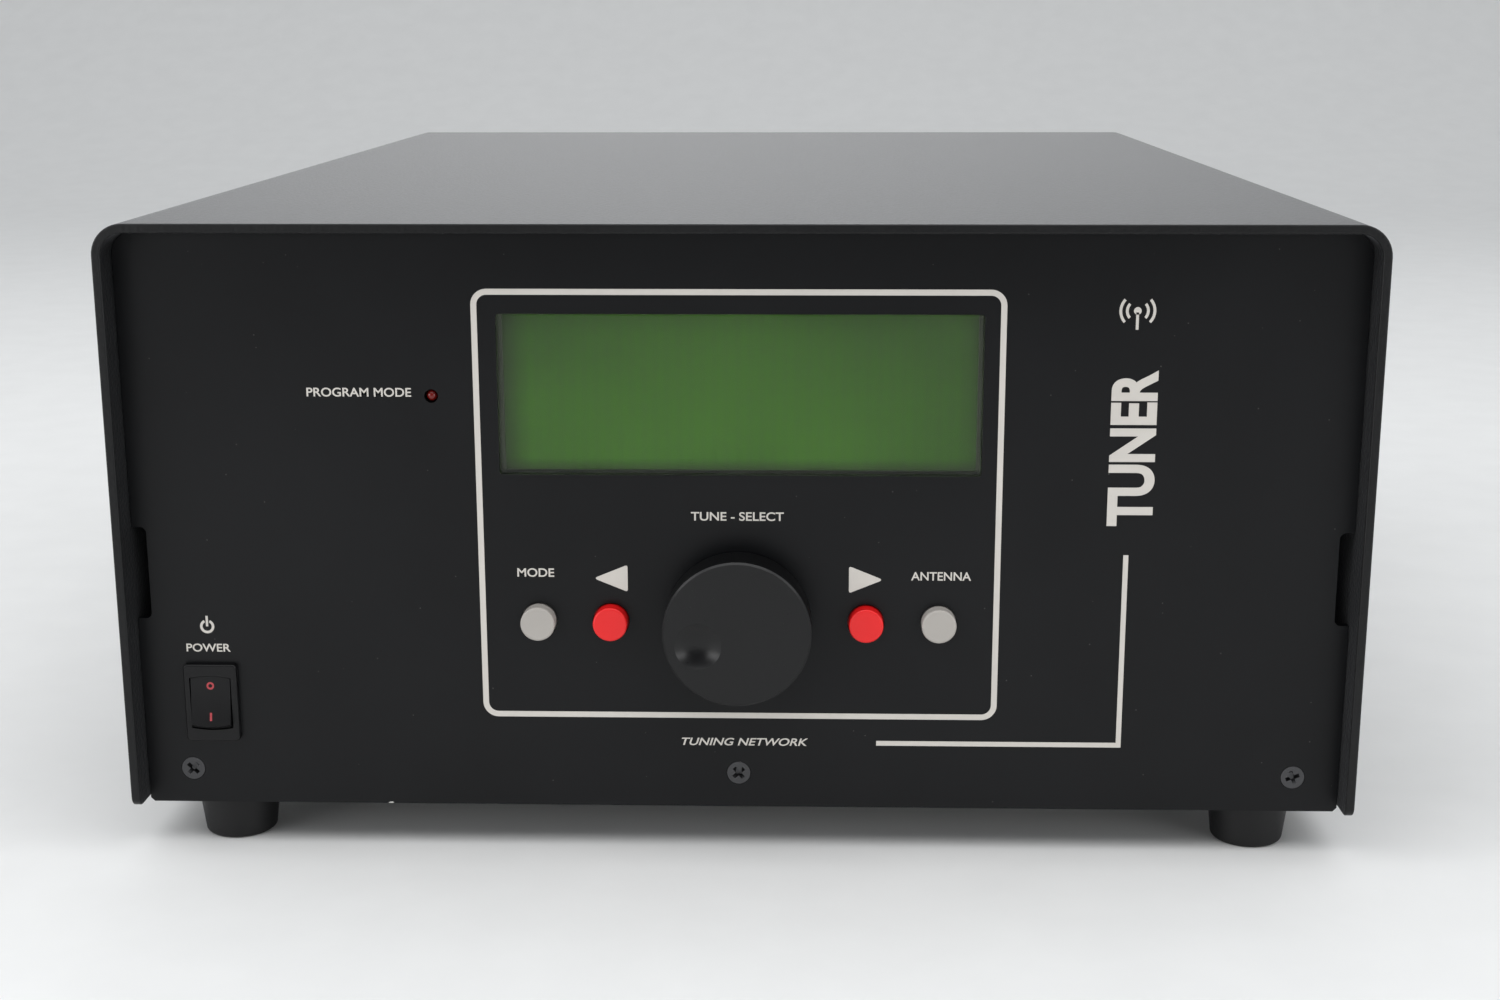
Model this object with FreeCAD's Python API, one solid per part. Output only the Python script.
"""Automatic antenna tuner.

A black sheet-metal desk-top case with a display, a large tuning knob, four push buttons and a rocker switch in
front, coaxial and wire terminals behind, and a motor-driven matching network inside.

Millimetres. +Z is up, the front faces -Y, and the origin is the centre of the base, on the surface it stands
on. Each function below makes one sub-part, and save() writes it to parts/NODE.step.
"""

import FreeCAD
import Part
import math
import os

V = FreeCAD.Vector

# ---- driving dimensions of the case
WIDTH = 317.5
HEIGHT = 165.1
COVER_LENGTH = 419.1
OVERALL_DEPTH = 445.0
FOOT_HEIGHT = 11.7
SHEET = 2.3
BEND_RADIUS = 8.0
LIP = 8.0
KNOB_PROUD_OF_LIP = 4.2
COVER_RAISED = 1.2
COVER_CORNER_RADIUS = 2.8
LIP_EDGE_RADIUS = 0.5
PANEL_GAP = 0.25
TRAY_SHEET = 2.0
FLANGE_HEIGHT = 20.0

# ---- screws of the case
SCREW_RADIUS = 1.7
SCREW_HOLE_RADIUS = 1.8
FLUSH_HEAD_RADIUS = 3.05
FLUSH_RIM = 0.35
COVER_SCREW_UP = 11.0
COVER_SCREW_INSET_Y = 70.0
CLINCH_NUT_RADIUS = 3.6
CLINCH_NUT_LENGTH = 1.8

# ---- vents
SIDE_SLOTS = 14
SIDE_SLOT_PITCH = 8.0
SIDE_SLOT_WIDTH = 3.0
SIDE_SLOT_UP = (88.0, 128.0)
SIDE_SLOT_FIRST_INSET_Y = 60.0
FLOOR_SLOTS = 9
FLOOR_SLOT_PITCH = 9.0
FLOOR_SLOT_X = (-60.0, 30.0)
FLOOR_SLOT_LENGTH = 30.0
FLOOR_SLOT_FIRST_Y = -40.0

# ---- places that follow from them
FRONT_LIP_Y = -OVERALL_DEPTH / 2 + KNOB_PROUD_OF_LIP
PANEL_Y = FRONT_LIP_Y + LIP
PANEL_BACK_Y = PANEL_Y + SHEET
REAR_LIP_Y = FRONT_LIP_Y + COVER_LENGTH
REAR_Y = REAR_LIP_Y - LIP
REAR_INNER_Y = REAR_Y - SHEET
BASE_Z = FOOT_HEIGHT
FLOOR_Z = BASE_Z + TRAY_SHEET
PANEL_HALF_WIDTH = WIDTH / 2 - SHEET - PANEL_GAP
PANEL_TOP_Z = HEIGHT - SHEET - PANEL_GAP

# ---- front panel layout: x, and height above the panel's lower edge
SCREW_X = 144.3
SCREW_UP = 9.3
WINDOW_CENTRE_X = 0.5
WINDOW_UP = 109.75
WINDOW_WIDTH = 122.2
WINDOW_HEIGHT = 41.1
CONTROL_UP = 50.6
BUTTON_X = {"mode_button": -51.5, "left_button": -32.85, "right_button": 32.85, "antenna_button": 51.5}
LED_X = -77.4
LED_UP = 109.4
SWITCH_X = -137.9
SWITCH_UP = 28.0
EDGE_NOTCH_UP = (50.5, 74.9)
EDGE_NOTCH_DEPTH = 3.7

# ---- controls
BUTTON_RADIUS = 4.45
BUTTON_PROUD = 3.8
BUTTON_GAP = 0.35
BUTTON_EDGE_RADIUS = 0.55
STEM_RADIUS = 1.75
BUSHING_RADIUS = 3.5
LED_RADIUS = 1.5
KNOB_RADIUS = 18.9
KNOB_LENGTH = 11.3
KNOB_BEVEL = 0.5
DIMPLE_RADIUS = 5.95
DIMPLE_DEPTH = 1.9
DIMPLE_OUT = 10.3
DIMPLE_ANGLE_DEG = 197.5
SET_SCREW_RADIUS = 1.5
SET_SCREW_INSET = 4.2
SHAFT_RADIUS = 3.0
BEZEL_WIDTH = 14.0
BEZEL_HEIGHT = 20.9
BEZEL_PROUD = 1.8
ROCKER_WIDTH = 10.3
ROCKER_MIDDLE_RADIUS = 8.0
ROCKER_SIDE_RADIUS = 7.5
ROCKER_END_PROUD = 0.8
ROCKER_HOLLOW = 0.5
ROCKER_TILT_DEG = 8.0
ROCKER_CLEARANCE = 0.3
PIVOT_DEPTH = 2.0
PIN_RADIUS = 1.1
SWITCH_NOTCH_DROP = 11.0
SWITCH_BODY_HALF = (6.45, 9.5)
SWITCH_BODY_LENGTH = 15.0

# ---- display module and control board; the halves are measured from the window's centre or the knob's axis
BOARD_Y = PANEL_BACK_Y + 8.6
BOARD_THICKNESS = 1.6
BOARD_STUD_RADIUS = 1.5
STANDOFF_RADIUS = 2.75
LENS_GAP = 0.15
LENS_FLANGE = 3.0
FRAME_HALF = (65.5, 25.7)
FRAME_OPENING_HALF = (59.9, 19.8)
FRAME_SHEET = 0.6
CELL_HALF = (64.5, 24.5)
CELL_THICKNESS = 2.2
DISPLAY_BOARD_HALF = (73.0, 31.2)
DISPLAY_STUD_HALF = (69.5, 27.7)
CONTROL_BOARD_HALF = (68.0, 19.0)
CONTROL_STUD_HALF = (63.0, 15.0)

# ---- feet and their places
FOOT_X = 135.65
FOOT_INSET_Y = 20.0
FOOT_TOP_RADIUS = 10.75
FOOT_BOTTOM_RADIUS = 9.25
FOOT_EDGE_RADIUS = 1.4
FOOT_SCREW_DEPTH = 6.0
FOOT_SCREW_RADIUS = 1.9
FOOT_HOLE_RADIUS = 2.1
FOOT_COUNTERBORE_RADIUS = 4.2

# ---- rear panel layout: x, and height above the panel's lower edge
COAX_X = (30.0, 75.0, 120.0)
COAX_UP = 38.0
COAX_RADIUS = 7.94
COAX_BARREL = 14.5
COAX_FLANGE = 25.4
COAX_HOLE_SPACING = 18.2
COAX_FLANGE_THICKNESS = 1.6
COAX_BORE_RADIUS = 6.0
COAX_CONTACT_RADIUS = 2.4
COAX_HOLE_RADIUS = 7.0
COAX_SCREW_HOLE_RADIUS = 1.6
POST_X = (52.0, 98.0)
POST_UP = 104.0
POST_HOLE_RADIUS = 6.2
POST_CONE_END = 17.0
POST_INNER_LENGTH = 9.0
GROUND_X = -15.0
GROUND_UP = 30.0
STUD_RADIUS = 3.0
GROUND_NUT_LENGTH = 3.0
WASHER_THICKNESS = 1.2
DC_X = -128.0
DC_UP = 34.0
DC_BODY_RADIUS = 5.4
SERIAL_X = -88.0
SERIAL_UP = 34.0
SERIAL_BACK_HALF = (9.5, 5.2)
SERIAL_HOLE_GAP = 0.4
REAR_PROUD = OVERALL_DEPTH / 2 - REAR_Y

# ---- matching network: both shafts run front to back at this height
AXIS_Z = 80.0
CAPACITOR_X = 78.0
INDUCTOR_X = -78.0
MOTOR_SIDE = 42.3
MOTOR_FACE_Y = -128.0
MOTOR_LENGTH = 40.0
MOTOR_SHAFT_RADIUS = 2.5
MOTOR_BOSS_RADIUS = 11.0
FRAME_FRONT_Y = -100.0
CAPACITOR_FRAME_HALF = (45.0, 46.0)
CAPACITOR_FRAME_PLATE = 4.0
CAPACITOR_SECTION = 78.0
STATOR_BUSHING_RADIUS = 6.5
PLATE_PITCH = 5.0
PLATE_THICKNESS = 0.8
PLATES_PER_SECTION = 13
ROTOR_RADIUS = 29.0
NETWORK_SHAFT_RADIUS = 4.0
COIL_RADIUS = 24.4
WIRE_RADIUS = 1.3
COIL_PITCH = 5.0
COIL_TURNS = 24
COIL_START_Y = -82.0
ROLLER_RADIUS = 8.6
ROLLER_ROOT = 7.0
ROLLER_GAP = 0.3
SLEEVE_RADIUS = 4.4

# ---- clearance of a part that turns or slides in another
RUNNING = 0.05

# ---- transformer of the balanced line, and the boards
BALUN_AT = V(70.0, 112.0, FLOOR_Z + 2.2)
BALUN_OUTER = 33.0
BALUN_INNER = 18.0
BALUN_HEIGHT = 25.0
BALUN_TURNS = 12
BALUN_WIRE = 2.2
MAIN_BOARD_X = (-148.0, -32.0)
MAIN_BOARD_Y = (80.0, 170.0)
MAIN_BOARD_PILLAR = 8.0
RELAY_BOARD_Y = REAR_Y - 20.0


# ---------------------------------------------------------------- helpers
def box(x0, x1, y0, y1, z0, z1):
    """A box between two corners."""
    return Part.makeBox(x1 - x0, y1 - y0, z1 - z0, V(x0, y0, z0))


def rod_y(x, z, radius, y0, y1):
    """A cylinder along Y."""
    return Part.makeCylinder(radius, y1 - y0, V(x, y0, z), V(0, 1, 0))


def rod_z(x, y, radius, z0, z1):
    """A cylinder along Z."""
    return Part.makeCylinder(radius, z1 - z0, V(x, y, z0), V(0, 0, 1))


def hex_prism(across_flats, length):
    """A hexagonal prism along +Z from the origin."""
    r = across_flats / math.sqrt(3)
    angles = [math.radians(a) for a in range(0, 361, 60)]
    points = [V(r * math.cos(a), r * math.sin(a), 0) for a in angles]
    return Part.Face(Part.makePolygon(points)).extrude(V(0, 0, length))


def hex_nut(across_flats, length, bore):
    """A plain hexagonal nut along +Z with its crown chamfered."""
    body = hex_prism(across_flats, length)
    half, flat, slope = across_flats / 2, length * 0.1, length * 0.9
    crown = Part.makeCone(half + slope, half, slope, V(0, 0, flat))
    base = Part.makeCylinder(across_flats, flat)
    return body.common(base.fuse(crown)).cut(Part.makeCylinder(bore, length))


def place(shape, position, outward, spin=0.0):
    """Spins a shape made along +Z about its own axis, points its +Z outward, and moves it into place."""
    turned = shape.copy()
    turned.rotate(V(0, 0, 0), V(0, 0, 1), spin)
    pose = FreeCAD.Placement(position, FreeCAD.Rotation(V(0, 0, 1), outward))
    turned.Placement = pose.multiply(turned.Placement)
    return turned


def fuse(shapes):
    """One clean solid from several that touch or overlap."""
    first, rest = shapes[0], shapes[1:]
    return first.multiFuse(rest).removeSplitter() if rest else first


def plate_outline(half_width, bottom, top, top_radius, bottom_cut, y0, y1):
    """A panel that follows the cover: round upper corners and small cut lower corners."""
    w, r, c = half_width, top_radius, bottom_cut
    k = r * (1 - math.sqrt(0.5))
    edges = [
        Part.LineSegment(V(-w + c, y0, bottom), V(w - c, y0, bottom)),
        Part.LineSegment(V(w - c, y0, bottom), V(w, y0, bottom + c)),
        Part.LineSegment(V(w, y0, bottom + c), V(w, y0, top - r)),
        Part.Arc(V(w, y0, top - r), V(w - k, y0, top - k), V(w - r, y0, top)),
        Part.LineSegment(V(w - r, y0, top), V(-w + r, y0, top)),
        Part.Arc(V(-w + r, y0, top), V(-w + k, y0, top - k), V(-w, y0, top - r)),
        Part.LineSegment(V(-w, y0, top - r), V(-w, y0, bottom + c)),
        Part.LineSegment(V(-w, y0, bottom + c), V(-w + c, y0, bottom)),
    ]
    wire = Part.Wire([e.toShape() for e in edges])
    return Part.Face(wire).extrude(V(0, y1 - y0, 0))


def slot_z(x0, x1, y, width, z0, z1):
    """A round-ended slot, upright, cut through along X."""
    r = width / 2
    ends = [Part.makeCylinder(r, x1 - x0, V(x0, y, z), V(1, 0, 0)) for z in (z0 + r, z1 - r)]
    return box(x0, x1, y - r, y + r, z0 + r, z1 - r).multiFuse(ends)


def phillips(span, width, depth):
    """The cross recess of a screw, below z = 0 and a little above it so that it cuts cleanly."""
    over, mouth, end = 0.1, span * 0.52, span * 0.26
    arm = box(-span / 2, span / 2, -width / 2, width / 2, -depth, over)
    other = box(-width / 2, width / 2, -span / 2, span / 2, -depth, over)
    taper = Part.makeCone(end, mouth, depth, V(0, 0, -depth))
    return arm.fuse(other).common(taper.fuse(Part.makeCylinder(mouth, over)))


def flat_head_screw(length):
    """A countersunk cross-head screw whose head is flush with z = 0."""
    head_radius, radius, rim = FLUSH_HEAD_RADIUS, SCREW_RADIUS, FLUSH_RIM
    cone_depth = head_radius - radius
    head = Part.makeCylinder(head_radius, rim, V(0, 0, -rim))
    cone = Part.makeCone(radius, head_radius, cone_depth, V(0, 0, -rim - cone_depth))
    shank = Part.makeCylinder(radius, length - rim - cone_depth, V(0, 0, -length))
    recess = phillips(head_radius * 1.2, head_radius * 0.34, 1.5)
    return fuse([head, cone, shank]).cut(recess)


def countersink_tool(position, outward):
    """The hole for a flush screw: a rim and cone under the surface, and a clearance hole."""
    mouth, rim_depth, cone_depth, depth = FLUSH_HEAD_RADIUS + 0.15, 0.3, 1.35, 8.0
    rim = Part.makeCylinder(mouth, rim_depth + 0.1, V(0, 0, -rim_depth))
    cone = Part.makeCone(SCREW_HOLE_RADIUS, mouth, cone_depth, V(0, 0, -rim_depth - cone_depth))
    hole = Part.makeCylinder(SCREW_HOLE_RADIUS, depth, V(0, 0, -depth))
    return place(fuse([rim, cone, hole]), position, outward)


def pan_head_screw(head_radius, head_height, radius, length):
    """A domed cross-head screw whose head sits on z = 0."""
    head = Part.makeCylinder(head_radius, head_height)
    top = [e for e in head.Edges if e.BoundBox.ZMin > head_height - 0.01 and e.Length > head_radius]
    head = head.makeFillet(head_height * 0.7, top)
    shank = Part.makeCylinder(radius, length, V(0, 0, -length))
    recess = phillips(head_radius * 1.1, head_radius * 0.3, head_height * 0.7)
    recess.translate(V(0, 0, head_height))
    return head.fuse(shank).removeSplitter().cut(recess)


def save(node, solids):
    """Writes one node from one solid or several separate ones."""
    solids = solids if isinstance(solids, list) else [solids]
    pieces = [s for shape in solids for s in shape.Solids]
    for piece in pieces:
        if not piece.isValid() or piece.Volume <= 0:
            raise ValueError(node + " has a bad solid")
    shape = pieces[0] if len(pieces) == 1 else Part.makeCompound(pieces)
    shape.exportStep(os.path.join("parts", node + ".step"))


# ---------------------------------------------------------------- the case
def cover_screw_places():
    """Three screws a side, through the cover into the tray's side flanges."""
    inset = COVER_SCREW_INSET_Y
    ys = (FRONT_LIP_Y + inset, FRONT_LIP_Y + COVER_LENGTH / 2, REAR_LIP_Y - inset)
    return [(side, y, BASE_Z + COVER_SCREW_UP) for side in (-1, 1) for y in ys]


def foot_places():
    """The four foot centres."""
    ys = (FRONT_LIP_Y + FOOT_INSET_Y, REAR_LIP_Y - FOOT_INSET_Y)
    return [(x, y) for x in (-FOOT_X, FOOT_X) for y in ys]


def cover():
    """The folded top and sides, longer than the chassis so that it stands out as a lip in front and behind."""
    w, top, low, r, t = WIDTH / 2, HEIGHT, BASE_Z + COVER_RAISED, BEND_RADIUS, SHEET
    y = FRONT_LIP_Y
    outer, inner = r * (1 - math.sqrt(0.5)), (r - t) * (1 - math.sqrt(0.5))
    edges = [
        Part.LineSegment(V(-w, y, low), V(-w, y, top - r)),
        Part.Arc(V(-w, y, top - r), V(-w + outer, y, top - outer), V(-w + r, y, top)),
        Part.LineSegment(V(-w + r, y, top), V(w - r, y, top)),
        Part.Arc(V(w - r, y, top), V(w - outer, y, top - outer), V(w, y, top - r)),
        Part.LineSegment(V(w, y, top - r), V(w, y, low)),
        Part.LineSegment(V(w, y, low), V(w - t, y, low)),
        Part.LineSegment(V(w - t, y, low), V(w - t, y, top - r)),
        Part.Arc(V(w - t, y, top - r), V(w - t - inner, y, top - t - inner), V(w - r, y, top - t)),
        Part.LineSegment(V(w - r, y, top - t), V(-w + r, y, top - t)),
        Part.Arc(V(-w + r, y, top - t), V(-w + t + inner, y, top - t - inner), V(-w + t, y, top - r)),
        Part.LineSegment(V(-w + t, y, top - r), V(-w + t, y, low)),
        Part.LineSegment(V(-w + t, y, low), V(-w, y, low)),
    ]
    shell = Part.Face(Part.Wire([e.toShape() for e in edges])).extrude(V(0, COVER_LENGTH, 0))
    corners = [e for e in shell.Edges if e.BoundBox.ZMax < low + 0.01 and e.BoundBox.YLength < 0.01]
    shell = shell.makeFillet(COVER_CORNER_RADIUS, corners)
    lips = [e for e in shell.Edges if e.BoundBox.YLength < 0.01 and e.BoundBox.ZMin > low + 1
            and (e.BoundBox.YMax < y + 0.01 or e.BoundBox.YMin > REAR_LIP_Y - 0.01)]
    shell = shell.makeFillet(LIP_EDGE_RADIUS, lips)
    tools = []
    for side, hole_y, z in cover_screw_places():
        tools.append(countersink_tool(V(side * w, hole_y, z), V(side, 0, 0)))
    slot_low, slot_high = (BASE_Z + up for up in SIDE_SLOT_UP)
    for n in range(SIDE_SLOTS):
        slot_y = REAR_LIP_Y - SIDE_SLOT_FIRST_INSET_Y - SIDE_SLOT_PITCH * n
        tools.append(slot_z(-w - 1, w + 1, slot_y, SIDE_SLOT_WIDTH, slot_low, slot_high))
    return shell.cut(tools)


def chassis_tray():
    """The bottom pan: a floor with four upturned flanges, open at the corners."""
    w, y0, y1 = PANEL_HALF_WIDTH, PANEL_BACK_Y, REAR_INNER_Y
    t, bend, corner = TRAY_SHEET, 0.8, 4.0
    floor, flange_top = BASE_Z, BASE_Z + FLANGE_HEIGHT
    block = box(-w, w, y0, y1, floor, flange_top)
    low = [e for e in block.Edges if e.BoundBox.ZMax < floor + 0.01]
    block = block.makeFillet(t + bend, low)
    hollow = box(-w + t, w - t, y0 + t, y1 - t, floor + t, flange_top + 1)
    low = [e for e in hollow.Edges if e.BoundBox.ZMax < floor + t + 0.01]
    hollow = hollow.makeFillet(bend, low)
    tools = [hollow]
    for sx in (-1, 1):
        for y in (y0, y1):
            x = sx * w
            tools.append(box(x - corner, x + corner, y - corner, y + corner, floor - 1, flange_top + 1))
    for side, hole_y, z in cover_screw_places():
        tools.append(Part.makeCylinder(SCREW_HOLE_RADIUS, 20, V(side * w - 10, hole_y, z), V(1, 0, 0)))
    for x in (-SCREW_X, 0, SCREW_X):
        z = floor + SCREW_UP
        tools.append(rod_y(x, z, SCREW_HOLE_RADIUS, y0 - 1, y0 + t + 1))
        tools.append(rod_y(x, z, SCREW_HOLE_RADIUS, y1 - t - 1, y1 + 1))
    for x, y in foot_places():
        tools.append(rod_z(x, y, FOOT_HOLE_RADIUS, floor - 1, FLOOR_Z + 1))
    switch_low = floor + SWITCH_UP - SWITCH_NOTCH_DROP
    tools.append(box(SWITCH_X - 8, SWITCH_X + 8, y0 - 1, y0 + t + 1, switch_low, flange_top + 1))
    for n in range(FLOOR_SLOTS):
        for x in FLOOR_SLOT_X:
            y = FLOOR_SLOT_FIRST_Y + FLOOR_SLOT_PITCH * n
            tools.append(box(x, x + FLOOR_SLOT_LENGTH, y, y + SIDE_SLOT_WIDTH, floor - 1, FLOOR_Z + 1))
    return block.cut(tools)


def button_hole_tools(radius, y0, y1):
    """Round tools at the four buttons."""
    return [rod_y(x, BASE_Z + CONTROL_UP, radius, y0, y1) for x in BUTTON_X.values()]


def front_panel():
    """The front plate with every opening cut in it."""
    y0, y1 = PANEL_Y, PANEL_BACK_Y
    plate = plate_outline(PANEL_HALF_WIDTH, BASE_Z, PANEL_TOP_Z, BEND_RADIUS - SHEET, 1.0, y0, y1)
    cx, cz = WINDOW_CENTRE_X, BASE_Z + WINDOW_UP
    window = box(cx - WINDOW_WIDTH / 2, cx + WINDOW_WIDTH / 2, y0 - 1, y1 + 1,
                 cz - WINDOW_HEIGHT / 2, cz + WINDOW_HEIGHT / 2)
    window = window.makeFillet(0.8, [e for e in window.Edges if e.BoundBox.YLength > SHEET])
    tools = [window]
    tools += button_hole_tools(BUTTON_RADIUS + BUTTON_GAP, y0 - 1, y1 + 1)
    tools.append(rod_y(0, BASE_Z + CONTROL_UP, BUSHING_RADIUS + 0.1, y0 - 1, y1 + 1))
    tools.append(rod_y(LED_X, BASE_Z + LED_UP, LED_RADIUS + 0.25, y0 - 1, y1 + 1))
    half_x, half_z = (half + h for half, h in zip(SWITCH_BODY_HALF, (0.15, 0.2)))
    z = BASE_Z + SWITCH_UP
    tools.append(box(SWITCH_X - half_x, SWITCH_X + half_x, y0 - 1, y1 + 1, z - half_z, z + half_z))
    for x in (-SCREW_X, 0, SCREW_X):
        tools.append(countersink_tool(V(x, y0, BASE_Z + SCREW_UP), V(0, -1, 0)))
    low, high = (BASE_Z + up for up in EDGE_NOTCH_UP)
    for side in (-1, 1):
        edge = side * PANEL_HALF_WIDTH
        notch = box(edge - EDGE_NOTCH_DEPTH, edge + EDGE_NOTCH_DEPTH, y0 - 1, y1 + 1, low, high)
        notch = notch.makeFillet(1.6, [e for e in notch.Edges if e.BoundBox.YLength > SHEET])
        tools.append(notch)
    return plate.cut(tools)


def coax_screw_places():
    """x and z of the four flange screws of each coaxial socket."""
    half, z = COAX_HOLE_SPACING / 2, BASE_Z + COAX_UP
    return [(x + sx * half, z + sz * half) for x in COAX_X for sx in (-1, 1) for sz in (-1, 1)]


def rear_panel():
    """The back plate with its connector openings."""
    y0, y1 = REAR_INNER_Y, REAR_Y
    plate = plate_outline(PANEL_HALF_WIDTH, BASE_Z, PANEL_TOP_Z, BEND_RADIUS - SHEET, 1.0, y0, y1)
    holes = [(x, BASE_Z + SCREW_UP, SCREW_HOLE_RADIUS) for x in (-SCREW_X, 0, SCREW_X)]
    holes += [(x, BASE_Z + COAX_UP, COAX_HOLE_RADIUS) for x in COAX_X]
    holes += [(x, z, COAX_SCREW_HOLE_RADIUS) for x, z in coax_screw_places()]
    holes += [(x, BASE_Z + POST_UP, POST_HOLE_RADIUS) for x in POST_X]
    holes.append((GROUND_X, BASE_Z + GROUND_UP, STUD_RADIUS))
    holes.append((DC_X, BASE_Z + DC_UP, DC_BODY_RADIUS + 0.1))
    tools = [rod_y(x, z, radius, y0 - 1, y1 + 1) for x, z, radius in holes]
    half_x, half_z = (half + SERIAL_HOLE_GAP for half in SERIAL_BACK_HALF)
    x, z = SERIAL_X, BASE_Z + SERIAL_UP
    tools.append(box(x - half_x, x + half_x, y0 - 1, y1 + 1, z - half_z, z + half_z))
    return plate.cut(tools)


def panel_screws():
    """Three flush cross-head screws along the front panel's lower edge, each left at its own turn."""
    made = []
    for x, spin in zip((-SCREW_X, 0, SCREW_X), (47.0, 41.0, 20.0)):
        made.append(place(flat_head_screw(7.5), V(x, PANEL_Y, BASE_Z + SCREW_UP), V(0, -1, 0), spin))
    return made


def cover_screws():
    """Flush cross-head screws that hold the cover to the tray's sides."""
    made = []
    for side, y, z in cover_screw_places():
        made.append(place(flat_head_screw(7.0), V(side * WIDTH / 2, y, z), V(side, 0, 0), 30.0 + y))
    return made


def rear_screws():
    """Domed screws of the rear panel and of the three coaxial sockets' flanges."""
    made = []
    for x in (-SCREW_X, 0, SCREW_X):
        screw = pan_head_screw(3.2, 1.9, SCREW_RADIUS, 7.0)
        made.append(place(screw, V(x, REAR_Y, BASE_Z + SCREW_UP), V(0, 1, 0), 15.0 + x))
    for n, (x, z) in enumerate(coax_screw_places()):
        screw = pan_head_screw(2.6, 1.6, 1.45, 6.2)
        made.append(place(screw, V(x, REAR_Y + COAX_FLANGE_THICKNESS, z), V(0, 1, 0), 37.0 * n))
    return made


def rubber_feet():
    """Four tapered feet, each with a counterbore for its screw."""
    h, a, b, r = FOOT_HEIGHT, FOOT_TOP_RADIUS, FOOT_BOTTOM_RADIUS, FOOT_EDGE_RADIUS
    hole, bore, step = FOOT_HOLE_RADIUS, FOOT_COUNTERBORE_RADIUS, FOOT_HEIGHT - FOOT_SCREW_DEPTH
    k = r * (1 - math.sqrt(0.5))
    lean = (a - b) / h
    fullness = 0.2
    edges = [
        Part.LineSegment(V(bore, 0, 0), V(b - r + fullness, 0, 0)),
        Part.Arc(V(b - r + fullness, 0, 0), V(b - k + fullness, 0, k), V(b + lean * r, 0, r)),
        Part.LineSegment(V(b + lean * r, 0, r), V(a, 0, h)),
        Part.LineSegment(V(a, 0, h), V(hole, 0, h)),
        Part.LineSegment(V(hole, 0, h), V(hole, 0, step)),
        Part.LineSegment(V(hole, 0, step), V(bore, 0, step)),
        Part.LineSegment(V(bore, 0, step), V(bore, 0, 0)),
    ]
    face = Part.Face(Part.Wire([e.toShape() for e in edges]))
    foot = face.revolve(V(0, 0, 0), V(0, 0, 1), 360)
    feet = []
    for x, y in foot_places():
        one = foot.copy()
        one.translate(V(x, y, 0))
        feet.append(one)
    return feet


def foot_screws():
    """Pan-head screws, heads down inside the feet's counterbores."""
    screw = pan_head_screw(3.6, 2.2, FOOT_SCREW_RADIUS, 13.0)
    z = FOOT_HEIGHT - FOOT_SCREW_DEPTH
    return [place(screw, V(x, y, z), V(0, 0, -1), 20.0) for x, y in foot_places()]


def nuts():
    """Clinch nuts of the tray, and hexagonal nuts of the feet, the boards and the rear studs."""
    made = []
    bore = Part.makeCylinder(SCREW_RADIUS + RUNNING, CLINCH_NUT_LENGTH)
    clinch = Part.makeCylinder(CLINCH_NUT_RADIUS, CLINCH_NUT_LENGTH).cut(bore)
    for side, y, z in cover_screw_places():
        made.append(place(clinch, V(side * (PANEL_HALF_WIDTH - TRAY_SHEET), y, z), V(-side, 0, 0)))
    for x in (-SCREW_X, 0, SCREW_X):
        z = BASE_Z + SCREW_UP
        made.append(place(clinch, V(x, PANEL_BACK_Y + TRAY_SHEET, z), V(0, 1, 0)))
        made.append(place(clinch, V(x, REAR_INNER_Y - TRAY_SHEET, z), V(0, -1, 0)))
    for x, y in foot_places():
        made.append(place(hex_nut(7.0, 3.2, FOOT_SCREW_RADIUS + RUNNING), V(x, y, FLOOR_Z), V(0, 0, 1)))
    for x, z in panel_board_studs():
        at = V(x, BOARD_Y + BOARD_THICKNESS, z)
        made.append(place(hex_nut(5.5, 2.4, BOARD_STUD_RADIUS), at, V(0, 1, 0)))
    post_nut, ground_nut = hex_nut(10.0, 4.0, STUD_RADIUS), hex_nut(10.0, GROUND_NUT_LENGTH, STUD_RADIUS)
    for x in POST_X:
        z = BASE_Z + POST_UP
        made.append(place(post_nut, V(x, REAR_Y + POST_CONE_END, z), V(0, 1, 0), 10.0))
        made.append(place(post_nut, V(x, REAR_Y + POST_CONE_END + 6.0, z), V(0, 1, 0), 40.0))
        made.append(place(post_nut, V(x, REAR_INNER_Y - POST_INNER_LENGTH, z), V(0, -1, 0)))
    z = BASE_Z + GROUND_UP
    made.append(place(ground_nut, V(GROUND_X, REAR_Y, z), V(0, 1, 0), 20.0))
    made.append(place(ground_nut, V(GROUND_X, REAR_INNER_Y, z), V(0, -1, 0)))
    return made


# ---------------------------------------------------------------- display and its boards
def around(centre, half):
    """The four corners at plus and minus two half sizes about a centre."""
    return [(centre[0] + sx * half[0], centre[1] + sz * half[1]) for sx in (-1, 1) for sz in (-1, 1)]


def display_centre():
    """x and z of the window's centre."""
    return WINDOW_CENTRE_X, BASE_Z + WINDOW_UP


def display_block(half, y0, y1):
    """A block of the display module, centred on the window."""
    cx, cz = display_centre()
    return box(cx - half[0], cx + half[0], y0, y1, cz - half[1], cz + half[1])


def display_studs():
    """x and z of the studs that carry the display board."""
    return around(display_centre(), DISPLAY_STUD_HALF)


def control_studs():
    """x and z of the studs that carry the control board."""
    return around((0.0, BASE_Z + CONTROL_UP), CONTROL_STUD_HALF)


def panel_board_studs():
    """x and z of all the studs on the front panel's back face."""
    return display_studs() + control_studs()


def main_board_corners():
    """The main board's four pillars."""
    inset = 4.0
    xs = (MAIN_BOARD_X[0] + inset, MAIN_BOARD_X[1] - inset)
    ys = (MAIN_BOARD_Y[0] + inset, MAIN_BOARD_Y[1] - inset)
    return [(x, y) for x in xs for y in ys]


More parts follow.
